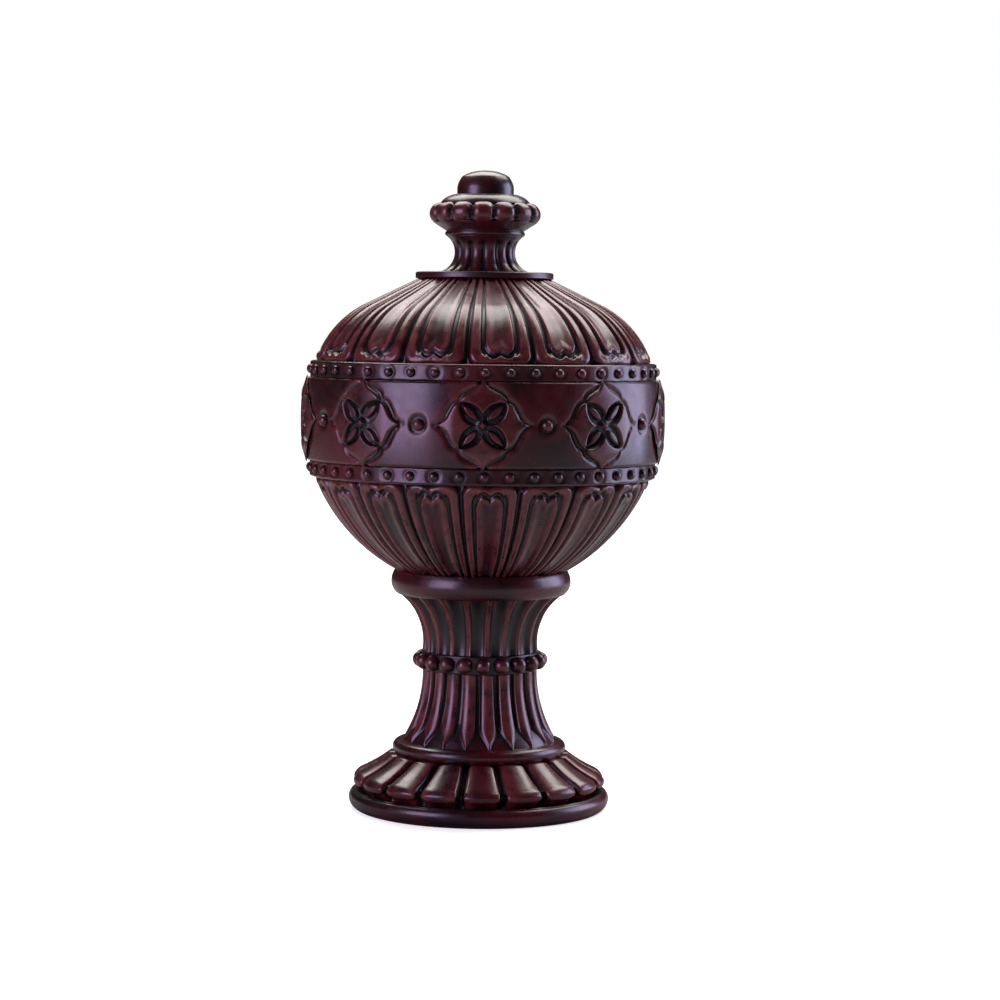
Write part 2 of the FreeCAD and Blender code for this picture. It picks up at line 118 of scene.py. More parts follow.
lacquerLook = {
    "oxblood": (0.108, 0.0038, 0.009, 1),
    "deepOxblood": (0.016, 0.0018, 0.004, 1),
    "rubbed": (0.21, 0.042, 0.038, 1),
    # Near-black for the antiquing in the hollows, also laid down as painted shade on creases and on pieces
    # in shade
    "antiquingAndShade": (0.0012, 0.0019, 0.0026, 1),
    "mottleScale": 55.0,
    "fineScale": 420.0,
    "gritScale": 1900.0,
    "unevenness": 0.3,
    "darkened": (0.12, 0.62),  # Stain at which the antiquing and painted shade start and at which they cover
    "gloss": (0.26, 0.38),
    "darkenedRoughness": 0.42,
    "specular": 0.75,
    "coat": 0.5,
    "coatRoughness": 0.22,
    "bump": 0.1,
    "bumpHeight": 0.0002,
}


def makeLacquerGroup():
    # Mottled red, rubbed paler on its edges, with near-black antiquing left in the hollows and the same
    # near-black laid on as painted shade
    group = bpy.data.node_groups.new("antiquedShadedLacquer", "ShaderNodeTree")
    for label in ("Stain_and_shade", "Wear"):
        group.interface.new_socket(label, in_out="INPUT", socket_type="NodeSocketFloat")
    for label, kind in (("Colour", "Color"), ("Roughness", "Float"), ("Height", "Float")):
        group.interface.new_socket(label, in_out="OUTPUT", socket_type="NodeSocket" + kind)
    given = group.nodes.new("NodeGroupInput")
    result = group.nodes.new("NodeGroupOutput")

    place = addNode(group, "ShaderNodeTexCoord").outputs["Object"]
    broad = noise(group, place, lacquerLook["mottleScale"])
    fine = noise(group, place, lacquerLook["fineScale"], 5.0)
    grit = noise(group, place, lacquerLook["gritScale"], 2.0)

    mottle = remap(group, broad, 0.35, 0.65)
    body = mixColour(group, mottle, lacquerLook["deepOxblood"], lacquerLook["oxblood"])
    rub = calculate(group, "MULTIPLY", given.outputs["Wear"], remap(group, fine, 0.3, 0.6, 0.2, 0.9))
    body = mixColour(group, rub, body, lacquerLook["rubbed"])
    uneven = calculate(group, "SUBTRACT", fine, 0.5)
    uneven = calculate(group, "MULTIPLY", uneven, lacquerLook["unevenness"])
    dark = calculate(group, "ADD", given.outputs["Stain_and_shade"], uneven)
    cover = remap(group, dark, *lacquerLook["darkened"])
    colour = mixColour(group, cover, body, lacquerLook["antiquingAndShade"])
    gloss = remap(group, fine, 0.3, 0.7, *lacquerLook["gloss"])
    roughness = mixValue(group, cover, gloss, lacquerLook["darkenedRoughness"])
    relief = calculate(group, "MULTIPLY", fine, 0.7)
    relief = calculate(group, "ADD", relief, calculate(group, "MULTIPLY", grit, 0.3))
    for label, value in (("Colour", colour), ("Roughness", roughness), ("Height", relief)):
        group.links.new(value, result.inputs[label])
    return group


def makeLacquer():
    material, tree, shader = newMaterial("lacqueredResin")
    look = addNode(tree, "ShaderNodeGroup", node_tree=makeLacquerGroup())
    for label in ("Stain_and_shade", "Wear"):
        source = addNode(tree, "ShaderNodeAttribute", attribute_name=label.lower())
        tree.links.new(source.outputs["Fac"], look.inputs[label])
    tree.links.new(look.outputs["Colour"], shader.inputs["Base Color"])
    tree.links.new(look.outputs["Roughness"], shader.inputs["Roughness"])
    shader.inputs["Specular IOR Level"].default_value = lacquerLook["specular"]
    shader.inputs["Coat Weight"].default_value = lacquerLook["coat"]
    shader.inputs["Coat Roughness"].default_value = lacquerLook["coatRoughness"]
    addBump(tree, shader, look.outputs["Height"], lacquerLook)
    return material


lacquer = makeLacquer()
print("lacquer", flush=True)


# Turning and carving

turning = {
    "slices": 24,  # Every count of columns is a multiple of this
    "mergeReach": 0.001,
    "nearReach": 0.9,  # How far round a place its hollows are measured
    "farReach": 2.2,
    "nearStainDepth": 0.3,  # Depth below what lies round it at which a hollow is fully stained
    "farStainDepth": 1.714,
    "wearHeight": 0.16,
}


def smooth(value, low, high):
    share = np.clip((value - low) / (high - low), 0, 1)
    return share * share * (3 - 2 * share)


def rounded(value, half):
    # A round bump of height 1 and the given half width
    return np.sqrt(np.clip(1 - (value / half) ** 2, 0, 1))


def softBump(value, half):
    # A soft bump of height 1
    return np.exp(-((value / half) ** 2))


def sector(angles, count, turn):
    # Place across a motif that repeats round the axis, from -0.5 to 0.5
    return ((angles - turn) * count / 360 + 0.5) % 1 - 0.5


def traceOutline(runs, pitch):
    # Points up a face at one pitch. A run is its end and, for an arc, its radius: + swells, - hollows
    points = [runs[0][:2]]
    for run in runs[1:]:
        low = np.array(points[-1], float)
        high = np.array(run[:2], float)
        chord = np.linalg.norm(high - low)
        bend = run[2] if len(run) > 2 else 0
        if bend:
            radius = abs(bend)
            sweep = 2 * math.asin(chord / (2 * radius))
            count = max(2, round(radius * sweep / pitch))
            along = (high - low) / chord
            outward = np.array([along[1], -along[0]]) * math.copysign(1, bend)
            centre = (low + high) / 2 - outward * math.sqrt(radius ** 2 - chord ** 2 / 4)
            for step in range(1, count + 1):
                angle = sweep * (step / count - 0.5)
                spoke = outward * math.cos(angle) + along * math.sin(angle)
                points.append(tuple(centre + radius * spoke))
        else:
            count = max(1, round(chord / pitch))
            for step in range(1, count + 1):
                points.append(tuple(low + (high - low) * step / count))
    return np.array(points)


def outwardNormals(points):
    along = np.gradient(points, axis=0)
    along /= np.linalg.norm(along, axis=1)[:, None]
    return np.stack([along[:, 1], -along[:, 0]], axis=1)


def blurGrid(grid, rows, columns):
    # A box blur twice over: round the axis it wraps, up the face it stops at the ends
    for reach, axis in ((rows, 0), (columns, 1)):
        for turn in range(2):
            mode = "edge" if axis == 0 else "wrap"
            width = [(0, 0), (0, 0)]
            width[axis] = (reach, reach)
            padded = np.pad(grid, width, mode=mode)
            total = np.cumsum(padded, axis=axis)
            total = np.concatenate([np.zeros_like(np.take(total, [0], axis=axis)), total], axis=axis)
            size = 2 * reach + 1
            if axis == 0:
                grid = (total[size:] - total[:-size]) / size
            else:
                grid = (total[:, size:] - total[:, :-size]) / size
    return grid


def hollowness(offset, reach, pitch, step):
    # How far each place lies below the mean of what is round it
    return blurGrid(offset, max(1, round(reach / pitch)), max(1, round(reach / step))) - offset


def repeatRound(build, count):
    # What is built so far is copied round the axis, to count copies in all
    whole = build.verts[:] + build.edges[:] + build.faces[:]
    bmesh.ops.spin(build, geom=whole, cent=(0, 0, 0), axis=(0, 0, 1),
                   angle=math.tau * (count - 1) / count, steps=count - 1, use_duplicate=True)


def spinRound(build, chain, columns):
    # One slice is spun and then copied round the axis, which is quicker than one long spin
    slices = turning["slices"]
    bmesh.ops.spin(build, geom=chain, cent=(0, 0, 0), axis=(0, 0, 1),
                   angle=math.tau / slices, steps=columns // slices)
    repeatRound(build, slices)
    bmesh.ops.remove_doubles(build, verts=build.verts, dist=turning["mergeReach"])


def toMesh(build, name):
    bmesh.ops.recalc_face_normals(build, faces=build.faces)
    mesh = bpy.data.meshes.new(name)
    build.to_mesh(mesh)
    build.free()
    return mesh


def readPlaces(mesh):
    places = np.empty(len(mesh.vertices) * 3)
    mesh.vertices.foreach_get("co", places)
    return places.reshape(-1, 3)


def addFloat(mesh, name, values):
    layer = mesh.attributes.new(name, "FLOAT", "POINT")
    layer.data.foreach_set("value", np.asarray(values, np.float32))


def finishPiece(name, mesh):
    mesh.update()
    mesh.polygons.foreach_set("use_smooth", [True] * len(mesh.polygons))
    mesh.materials.append(lacquer)
    piece = bpy.data.objects.new(name, mesh)
    scene.collection.objects.link(piece)
    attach(piece, "root")
    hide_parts("finial_casting")
    print(name, "triangles", sum(len(face.vertices) - 2 for face in mesh.polygons), flush=True)


def spinOutline(name, points, columns):
    # The outline closed to the axis at both ends and spun, with each point's row kept as an attribute
    build = bmesh.new()
    rowLayer = build.verts.layers.float.new("row")
    chain = []
    closed = [(0, points[0][1])] + list(points) + [(0, points[-1][1])]
    for number, (radius, height) in enumerate(closed):
        vert = build.verts.new((0, -radius, height))
        vert[rowLayer] = number - 1
        chain.append(vert)
    edges = [build.edges.new(pair) for pair in zip(chain, chain[1:])]
    spinRound(build, chain + edges, columns)
    return toMesh(build, name)


def uncarved(angles, along, radius, height):
    return 0 * angles * along


def turnPiece(name, runs, columns, pitch, carve=uncarved, paintedShade=0.0):
    # A closed turned piece. Each point of its face moves along the outline's normal by what carve says, and
    # paintedShade darkens the whole face as painted shade
    points = traceOutline(runs, pitch)
    count = len(points)
    mesh = spinOutline(name, points, columns)
    place = readPlaces(mesh)
    row = np.empty(len(place))
    mesh.attributes["row"].data.foreach_get("value", row)
    onFace = (row > -0.5) & (row < count - 0.5)
    row = np.clip(np.round(row), 0, count - 1).astype(int)
    theta = np.degrees(np.arctan2(place[:, 0], -place[:, 1]))
    column = np.round(theta * columns / 360).astype(int) % columns

    along = np.concatenate([[0], np.cumsum(np.linalg.norm(np.diff(points, axis=0), axis=1))])
    angles = (np.arange(columns) * 360 / columns)[None, :]
    offset = carve(angles, along[:, None], points[:, 0][:, None], points[:, 1][:, None])
    offset = np.broadcast_to(offset, (count, columns))
    step = math.tau * points[:, 0].mean() / columns
    near = hollowness(offset, turning["nearReach"], pitch, step)
    far = hollowness(offset, turning["farReach"], pitch, step)
    stain_and_shade = np.clip(near / turning["nearStainDepth"] + far / turning["farStainDepth"], 0, 1)
    wear = np.clip(-near / turning["wearHeight"], 0, 1)

    normal = outwardNormals(points)[row]
    push = np.where(onFace, offset[row, column], 0)
    radius = np.where(onFace, points[row, 0] + push * normal[:, 0], np.hypot(place[:, 0], place[:, 1]))
    height = np.where(onFace, points[row, 1] + push * normal[:, 1], place[:, 2])
    turn = np.radians(theta)
    moved = np.stack([radius * np.sin(turn), -radius * np.cos(turn), height], axis=1) * mm
    mesh.vertices.foreach_set("co", moved.ravel())
    # The hollows' antiquing plus paintedShade, which is painted shade laid over a whole piece
    addFloat(mesh, "stain_and_shade", np.where(onFace, np.clip(stain_and_shade[row, column] + paintedShade, 0, 1), 1))
    addFloat(mesh, "wear", np.where(onFace, wear[row, column], 0))
    mesh.attributes.remove(mesh.attributes["row"])
    finishPiece(name, mesh)


# Rings of beads

bead = {
    "around": 20,
    "up": 14,
    "footShade": (-0.1, 0.35),  # Where the painted shade at the foot of a ball fades and the wear sets in, in radii outside the ring
    "worn": (0.6, 1.0),
}


def beadRing(name, count, turn, ring, height, radius, squash=(1, 1, 1)):
    # One ball, set on the ring and copied round the axis
    build = bmesh.new()
    ball = bmesh.ops.create_uvsphere(build, u_segments=bead["around"], v_segments=bead["up"], radius=radius)
    turned = Matrix.Rotation(math.radians(turn), 3, "Z")
    bmesh.ops.scale(build, verts=ball["verts"], vec=squash)
    bmesh.ops.translate(build, verts=ball["verts"], vec=(0, -ring, height))
    bmesh.ops.rotate(build, verts=ball["verts"], cent=(0, 0, 0), matrix=turned)
    repeatRound(build, count)
    bmesh.ops.scale(build, verts=build.verts, vec=(mm, mm, mm))
    mesh = toMesh(build, name)
    place = readPlaces(mesh) / mm
    proud = (np.hypot(place[:, 0], place[:, 1]) - ring) / radius
    # Dark round the foot of each ball: painted shade where it meets the ground
    addFloat(mesh, "stain_and_shade", 1 - smooth(proud, *bead["footShade"]))
    addFloat(mesh, "wear", smooth(proud, *bead["worn"]))
    finishPiece(name, mesh)


# Foot

foot = {
    "columns": 720,
    "pitch": 0.22,
    "gadroons": 18,
    "turn": 2.0,
    "groove": 1.5,
    "grooveWall": (0.1, 1.0),
    "lip": 0.8,
    "shallower": (6.5, 9.5),  # Where, up the face, the grooves lose the share of depth given next
    "shallowing": 0.45,
    "swell": 0.8,
    "swellCurve": 2.5,
    "gadroonRun": [
        (22.6, 2.8),
        (24.0, 4.5),
        (25.2, 5.6, 1.2),
        (25.0, 6.4, 0.9),
        (23.9, 7.4, 2.6),
        (18.0, 11.0, -30.0),
    ],
    "baseColumns": 480,
    "basePitch": 0.28,
    "baseRun": [(24.6, 0), (26.0, 2.2, 2.43), (25.2, 3.6, 1.63), (23.0, 2.8)],
    "channelPitch": 0.2,
    # Painted shade darkening the channel between the base and the gadroons
    "channelPaintedShade": 0.75,
    "channelRun": [(25.1, 3.5), (24.7, 3.8, 0.9), (23.0, 2.9)],
    "astragalColumns": 360,
    "astragalRun": [(16.6, 11.0), (17.3, 12.3, 1.56), (15.9, 13.6, 1.31)],
}


def carveGadroons(angles, along, radius, height):
    across = 2 * np.abs(sector(angles, foot["gadroons"], foot["turn"]))
    gap = math.pi * radius / foot["gadroons"] * (1 - across)
    depth = smooth(along, 0, foot["lip"]) * (1 - foot["shallowing"] * smooth(along, *foot["shallower"]))
    groove = foot["groove"] * depth * (1 - smooth(gap, *foot["grooveWall"]))
    return -groove - foot["swell"] * across ** foot["swellCurve"]


turnPiece("footBase", foot["baseRun"], foot["baseColumns"], foot["basePitch"])
turnPiece("footChannel", foot["channelRun"], foot["baseColumns"], foot["channelPitch"],
          paintedShade=foot["channelPaintedShade"])
turnPiece("footGadroons", foot["gadroonRun"], foot["columns"], foot["pitch"], carveGadroons)
turnPiece("footAstragal", foot["astragalRun"], foot["astragalColumns"], foot["pitch"])
print("foot", flush=True)


# Stem

stem = {
    "columns": 480,
    "pitch": 0.23,
    "ribs": 20,
    "ribTurn": 8.3,
    "ribShare": 0.8,
    "ribPoint": (0.1, 4.6),
    "ribGap": 1.15,
    "gapDeepens": (1.5, 6.0),
    "ribWall": (-0.3, 0.12),
    "ribRound": 0.5,
    "lowerRun": [(15.5, 13.6), (11.5, 27.9, -26.5)],
    "bandColumns": 240,
    # Painted shade on the ground between the beads
    "bandPaintedShade": 0.8,
    "bandRun": [(11.4, 27.9), (11.6, 28.0), (11.6, 31.4), (11.4, 31.5)],
    "beads": 20,
    "beadTurn": 3.4,
    "beadRadius": 1.6,
    "beadRing": 11.9,
    "beadHeight": 29.7,
    "flutes": 20,
    "fluteTurn": 16.1,
    "fluteDepth": 1.25,
    "fluteDeepens": (2.0, 10.0),
    "land": 0.42,
    "landRound": 0.1,
    "upperRun": [(11.6, 31.5), (16.4, 43.0, -12.0)],
    "collarColumns": 360,
    "collarRun": [(16.7, 43.0), (17.9, 45.4, 3.0), (17.2, 47.7, 4.13)],
}


def carveRibs(angles, along, radius, height):
    # Ribs that come to a point at the foot, with the ground between them
    half = math.pi * radius / stem["ribs"]
    wide = np.abs(sector(angles, stem["ribs"], stem["ribTurn"])) * 2 * half
    point = smooth(along, *stem["ribPoint"]) ** 0.75
    ribHalf = half * stem["ribShare"] * (0.02 + 0.98 * point)
    ground = stem["ribGap"] * (0.3 + 0.7 * smooth(along, *stem["gapDeepens"]))
    drop = ground * smooth(wide - ribHalf, *stem["ribWall"])
    top = stem["ribRound"] * np.minimum(wide / np.maximum(ribHalf, 0.3), 1) ** 2
    return -np.minimum(drop + top, ground + 0.15)


def carveFlutes(angles, along, radius, height):
    # Round flutes with a narrow land between each pair
    half = math.pi * radius / stem["flutes"]
    wide = np.abs(sector(angles, stem["flutes"], stem["fluteTurn"])) * 2 * half
    fluteHalf = half - stem["land"]
    depth = stem["fluteDepth"] * (0.75 + 0.25 * smooth(along, *stem["fluteDeepens"]))
    return -depth * rounded(wide, fluteHalf) ** 0.8 - stem["landRound"] * smooth(wide, fluteHalf, half)


turnPiece("stemLower", stem["lowerRun"], stem["columns"], stem["pitch"], carveRibs)
turnPiece("stemBand", stem["bandRun"], stem["bandColumns"], stem["pitch"], paintedShade=stem["bandPaintedShade"])
turnPiece("stemUpper", stem["upperRun"], stem["columns"], stem["pitch"], carveFlutes)
turnPiece("stemCollar", stem["collarRun"], stem["collarColumns"], stem["pitch"])
beadRing("stemBeads", stem["beads"], stem["beadTurn"], stem["beadRing"], stem["beadHeight"],
         stem["beadRadius"])
print("stem", flush=True)


# Bowls

petal = {
    "cornerRadius": 1.9,
    "tongueCorner": 1.2,
    "lobeCurve": 1.8,
    "gapDepth": 1.6,
    "gapWall": (-0.45, 0.7),
    "rimCrown": 0.3,
    "ridge": 0.16,
    "ridgePlace": 0.3,
    "ridgeWidth": 0.26,
    "grooveDepth": 0.85,
    "tongueDrop": 0.1,
}

lowerBowl = {
    "petals": 18,
    "turn": 3.2,
    "rimRadius": 33.4,
    "gap": 0.42,
    "rim": 1.45,
    "groove": 0.95,
    "start": 0.3,
    "rimNotch": 0.5,
    "tongue": 2.75,
    "tongueNotch": 1.0,
    "tongueHollow": 0.3,
    "columns": 792,
    "pitch": 0.28,
    "run": [(17.1, 47.7), (33.4, 66.4, 36.0)],
}

upperBowl = {
    "petals": 16,
    "turn": 6.1,
    "rimRadius": 33.4,
    "gap": 0.5,
    "rim": 1.3,
    "groove": 1.05,
    "start": 0.2,
    "rimNotch": 0.25,
    "tongue": 2.9,
    "tongueNotch": 0.8,
    "tongueHollow": 0.2,
    "columns": 792,
    "pitch": 0.29,
    "run": [(33.4, 88.9), (23.7, 100.3, 19.5), (13.2, 105.4)],
}

disc = {
    "columns": 360,
    "pitch": 0.15,
    # Painted shade darkening the disc
    "paintedShade": 0.35,
    "run": [(13.2, 105.4), (13.65, 105.5), (13.65, 106.5), (13.4, 106.7)],
}


def petalField(wide, along, half, start, notch, corner):
    # Distance inside a petal shape whose wide end has two lobes
    side = half - wide
    lobe = notch * np.abs(2 * wide / half - 1) ** petal["lobeCurve"] * (wide < half)
    end = (along - start - lobe) / math.sqrt(1 + (notch * 2.2 / half) ** 2)
    inSide = np.maximum(corner - side, 0)
    inEnd = np.maximum(corner - end, 0)
    return np.where((inSide > 0) & (inEnd > 0), corner - np.hypot(inSide, inEnd), np.minimum(side, end))


def carvePetals(angles, along, radius, look):
    # A petal is a rim with a ridge along its inner edge, a groove, and a tongue with a two-lobed end
    half = math.pi * look["rimRadius"] / look["petals"]
    wide = np.abs(sector(angles, look["petals"], look["turn"])) * 2 * half
    narrow = np.clip(radius / look["rimRadius"], 0.3, 1)
    groove = look["groove"]
    outer = petalField(wide, along, half - look["gap"], look["start"], look["rimNotch"],
                       petal["cornerRadius"])
    inner = petalField(wide, along, look["tongue"], look["start"] + look["rim"] + groove,
                       look["tongueNotch"], petal["tongueCorner"])

    gap = petal["gapDepth"] * narrow ** 0.6 * smooth(-outer, *petal["gapWall"])
    rimWide = np.maximum(half - look["gap"] - look["tongue"] - groove, 0.5)
    crown = petal["rimCrown"] * (2 * np.clip(outer / rimWide, 0, 1) - 1) ** 2
    crown = crown * smooth(-inner, groove, groove + 0.3)
    ridge = petal["ridge"] * softBump(-inner - groove - petal["ridgePlace"], petal["ridgeWidth"])
    ridge = ridge * narrow * smooth(outer, 0.2, 0.8)
    bed = smooth(-inner, -0.2, 0.2) * (1 - smooth(-inner, groove - 0.25, groove + 0.2))
    bed = petal["grooveDepth"] * narrow ** 0.4 * bed
    tongue = petal["tongueDrop"] + look["tongueHollow"] * smooth(inner, 0.25, 0.75 * look["tongue"])
    tongue = tongue * smooth(inner, 0, 0.3)
    return ridge - np.maximum(gap, (crown + bed + tongue) * smooth(outer, 0, 0.35))


def carveLowerBowl(angles, along, radius, height):
    return carvePetals(angles, along.max() - along, radius, lowerBowl)


def carveUpperBowl(angles, along, radius, height):
    return carvePetals(angles, along, radius, upperBowl)


turnPiece("bowlLower", lowerBowl["run"], lowerBowl["columns"], lowerBowl["pitch"], carveLowerBowl)
turnPiece("bowlUpper", upperBowl["run"], upperBowl["columns"], upperBowl["pitch"], carveUpperBowl)
turnPiece("bowlDisc", disc["run"], disc["columns"], disc["pitch"], paintedShade=disc["paintedShade"])
print("bowls", flush=True)


# Band with its two strips of pearls

band = {
    "columns": 720,
    "pitch": 0.45,
    "low": 66.4,
    "high": 88.9,
    "edge": 35.1,
    "foot": 34.4,
    "chamfer": 0.15,
    "bulgeArc": 90.0,
    "shadowGroove": 0.42,
    "shadowWidth": 0.4,
    "stripPitch": 0.3,
    "stripRise": 3.1,
    "stripFace": 34.3,
    "stripInner": 33.4,
    "stripOuter": 33.2,
    "stripRound": 0.9,
    "stripEase": 0.1,
    "pearls": 45,
    "pearlTurn": 1.0,
    "pearlRing": 34.2,
    "pearlRadius": 0.95,
    "pearlSquash": (1, 0.85, 1),
    "pearlShadeDip": 0.14,
    "pearlShadeDipRing": 1.05,
    "pearlShadeDipWidth": 0.4,
    "bossRadius": 1.2,
    "bossRing": 35.05,
}

rosette = {
    "count": 9,
    "turn": 0.4,
    "steps": 144,
    "rings": 36,
    "tip": 8.7,
    "stand": 0.66,
    "edgeRound": 0.8,
    "bed": (0.35, 5.6, 1.75),  # Start, length and half width of an almond between two arms
    "bedDepth": 1.0,
    "leaf": (1.5, 3.9, 0.8),
    "leafRise": 0.85,
    "tipDrop": 0.45,
    "middle": 0.75,
    "skirt": 0.8,
    "socket": 0.9,
    # An arm's outline from its tip to the notch, as shares of its reach
    "arm": [(0.0, 1.0), (0.05, 0.9), (0.15, 0.79), (0.31, 0.71), (0.43, 0.64), (0.49, 0.55), (0.5, 0.49)],
}

bandLow = band["low"] + band["stripRise"]
bandHigh = band["high"] - band["stripRise"]
bandMiddle = (bandLow + bandHigh) / 2
bandRun = [
    (band["foot"], bandLow),
    (band["edge"], bandLow + band["chamfer"]),
    (band["edge"], bandHigh - band["chamfer"], band["bulgeArc"]),
    (band["foot"], bandHigh),
]


def stripRun(low, first, last):
    # A strip's outline from its foot, whose two edges are rounded over
    high = low + band["stripRise"]
    return [
        (first, low),
        (band["stripFace"], low + band["stripEase"], band["stripRound"]),
        (band["stripFace"], high - band["stripEase"]),
        (last, high, band["stripRound"]),
    ]


def carveStrip(angles, along, radius, height):
    # The ground sinks a little round each pearl, and the stain of that hollow paints a ring of shade round
    # the pearl
    across = sector(angles, band["pearls"], band["pearlTurn"]) * math.tau * radius / band["pearls"]
    middle = (height.min() + height.max()) / 2
    away = np.hypot(across, height - middle)
    return -band["pearlShadeDip"] * softBump(away - band["pearlShadeDipRing"], band["pearlShadeDipWidth"])


lowerStrip = stripRun(band["low"], band["stripOuter"], band["stripInner"])
upperStrip = stripRun(bandHigh, band["stripInner"], band["stripOuter"])
turnPiece("stripLower", lowerStrip, band["columns"], band["stripPitch"], carveStrip)
turnPiece("stripUpper", upperStrip, band["columns"], band["stripPitch"], carveStrip)
for name, low in (("pearlsLower", band["low"]), ("pearlsUpper", bandHigh)):
    beadRing(name, band["pearls"], band["pearlTurn"], band["pearlRing"], low + band["stripRise"] / 2,
             band["pearlRadius"], band["pearlSquash"])
beadRing("bandBosses", rosette["count"], rosette["turn"] + 180 / rosette["count"], band["bossRing"],
         bandMiddle, band["bossRadius"])


def rosetteEdge(turn):
    # Reach of the outline in a direction: four ogee arms with a small notch between each pair
    corners = rosette["arm"] + [(up, across) for across, up in rosette["arm"][-2::-1]]
    angles = [math.atan2(up, across) for across, up in reversed(corners)]
    reach = [math.hypot(across, up) for across, up in reversed(corners)]
    return np.interp(turn % (math.pi / 2), angles, reach) * rosette["tip"]


def carveBand(angles, along, radius, height):
    # A shadow line round each rosette and boss, and a socket for each rosette to sit in
    pitch = math.tau * band["edge"] / rosette["count"]
    across = sector(angles, rosette["count"], rosette["turn"]) * pitch
    up = height - bandMiddle
    outside = np.hypot(across, up) - rosetteEdge(np.arctan2(up, across))
    bossAway = np.hypot(np.abs(across) - pitch / 2, up) - band["bossRadius"]
    near = np.minimum(np.abs(outside - 0.3), np.abs(bossAway - 0.1))
    shadow = band["shadowGroove"] * softBump(near, band["shadowWidth"])
    return -shadow - rosette["socket"] * smooth(-outside, 0.3, 0.9)


turnPiece("band", bandRun, band["columns"], band["pitch"], carveBand)


def almond(diagonal, low, long, half):
    # Half width of an almond along the line between two arms
    share = min(1.0, max(0.0, (diagonal - low) / long))
    return half * math.sin(math.pi * share ** 0.85) ** 0.6


def rosetteFace(across, up, inside):
    # Rise, stain with painted shade, and wear at a place on the face that lies so far inside the outline
    diagonal = (abs(across) + abs(up)) / math.sqrt(2)
    sideways = abs(abs(across) - abs(up)) / math.sqrt(2)
    inBed = smooth(almond(diagonal, *rosette["bed"]) - sideways, -0.1, 0.25)
    inLeaf = smooth(almond(diagonal, *rosette["leaf"]) - sideways, -0.05, 0.35)
    edge = smooth(inside, 0.0, rosette["edgeRound"])
    middle = softBump(math.hypot(across, up), rosette["middle"])
    rise = rosette["stand"] * (1 - 0.5 * (1 - edge) ** 2)
    rise -= rosette["bedDepth"] * inBed * (1 - rosette["leafRise"] * inLeaf)
    rise -= rosette["tipDrop"] * smooth(max(abs(across), abs(up)), 5.0, rosette["tip"])
    rise = rise * (1 - middle) + (rosette["stand"] + 0.05) * middle
    # Antiquing in the beds, plus painted shade along the outline and on the skirt, where the rosette meets
    # the band
    stain_and_shade = 1.3 * inBed * (1 - inLeaf) * (1 - middle) + 1 - smooth(inside, 0.0, 0.35)
    wear = smooth(inside, 0.25, 0.6) * (0.85 - 0.35 * smooth(inside, 0.7, 1.6))
    return rise, min(1.0, stain_and_shade), wear


def makeRosettes():
    # A disc is spun flat, gets a skirt and a back, and is then bent onto the band and carved
    build = bmesh.new()
    rings = rosette["rings"]
    chain = [build.verts.new((number / rings, 0, 0)) for number in range(rings + 1)]
    edges = [build.edges.new(pair) for pair in zip(chain, chain[1:])]
    spinRound(build, chain + edges, rosette["steps"])
    rim = [edge for edge in build.edges if edge.is_boundary]
    made = bmesh.ops.extrude_edge_only(build, edges=rim)
    skirt = {item for item in made["geom"] if isinstance(item, bmesh.types.BMVert)}
    bmesh.ops.contextual_create(build, geom=[edge for edge in build.edges if edge.is_boundary])
    shadeStainLayer = build.verts.layers.float.new("stain_and_shade")
    wearLayer = build.verts.layers.float.new("wear")
    for vert in build.verts:
        turn = math.atan2(vert.co.y, vert.co.x)
        share = min(1.0, vert.co.xy.length)
        reach = float(rosetteEdge(turn))
        across = share * reach * math.cos(turn)
        up = share * reach * math.sin(turn)
        rise, stain_and_shade, wear = rosetteFace(across, up, (1 - share) * reach)
        if vert in skirt:
            rise = -rosette["skirt"]
        bulge = ((bandHigh - bandLow) ** 2 / 4 - up ** 2) / (2 * band["bulgeArc"])
        radius = band["edge"] + bulge + rise
        angle = across / band["edge"]
        vert.co = (radius * math.sin(angle), -radius * math.cos(angle), bandMiddle + up)
        vert[shadeStainLayer] = float(stain_and_shade)
        vert[wearLayer] = float(wear)
    turned = Matrix.Rotation(math.radians(rosette["turn"]), 3, "Z")
    bmesh.ops.rotate(build, verts=build.verts, cent=(0, 0, 0), matrix=turned)
    repeatRound(build, rosette["count"])
    bmesh.ops.scale(build, verts=build.verts, vec=(mm, mm, mm))
    finishPiece("rosettes", toMesh(build, "rosettes"))


makeRosettes()
print("band", flush=True)


# Crown

crown = {
    "columns": 384,
    "plainColumns": 240,
    "domeColumns": 192,
    "pitch": 0.16,
    "reeds": 14,
    "reedTurn": 10.7,
    "reedDepth": 0.85,
    "reedStart": (0.2, 1.4),
    "reedEnd": (7.0, 8.4),
    # Painted shade darkening the reeded neck
    "neckPaintedShade": 0.3,
    "neckRun": [(9.4, 106.7), (7.5, 113.8, -4.0)],
    # Painted shade darkening the cup under the knob
    "cupPaintedShade": 0.25,
    "cupRun": [(7.4, 113.8), (7.9, 114.3, 0.5), (7.6, 114.8, 0.5), (7.7, 114.9), (10.2, 116.5)],
    "lobes": 14,
    "lobeTurn": -2.2,
    "lobeDepth": 1.25,
    "lobeCurve": 3.4,
    "lobeEnd": (3.8, 4.8),
    "knobRun": [(10.2, 116.5), (11.07, 118.4, 2.15), (9.3, 120.3, 2.15)],
    "shoulderRun": [(9.0, 120.1), (6.9, 121.8, 3.4), (6.3, 122.0, 1.2), (5.6, 122.0)],
    "domeRun": [(5.6, 121.9), (5.6, 123.4), (4.6, 125.6, 4.4), (1.6, 126.65, 6.4), (0.05, 126.8, 12.0)],
}


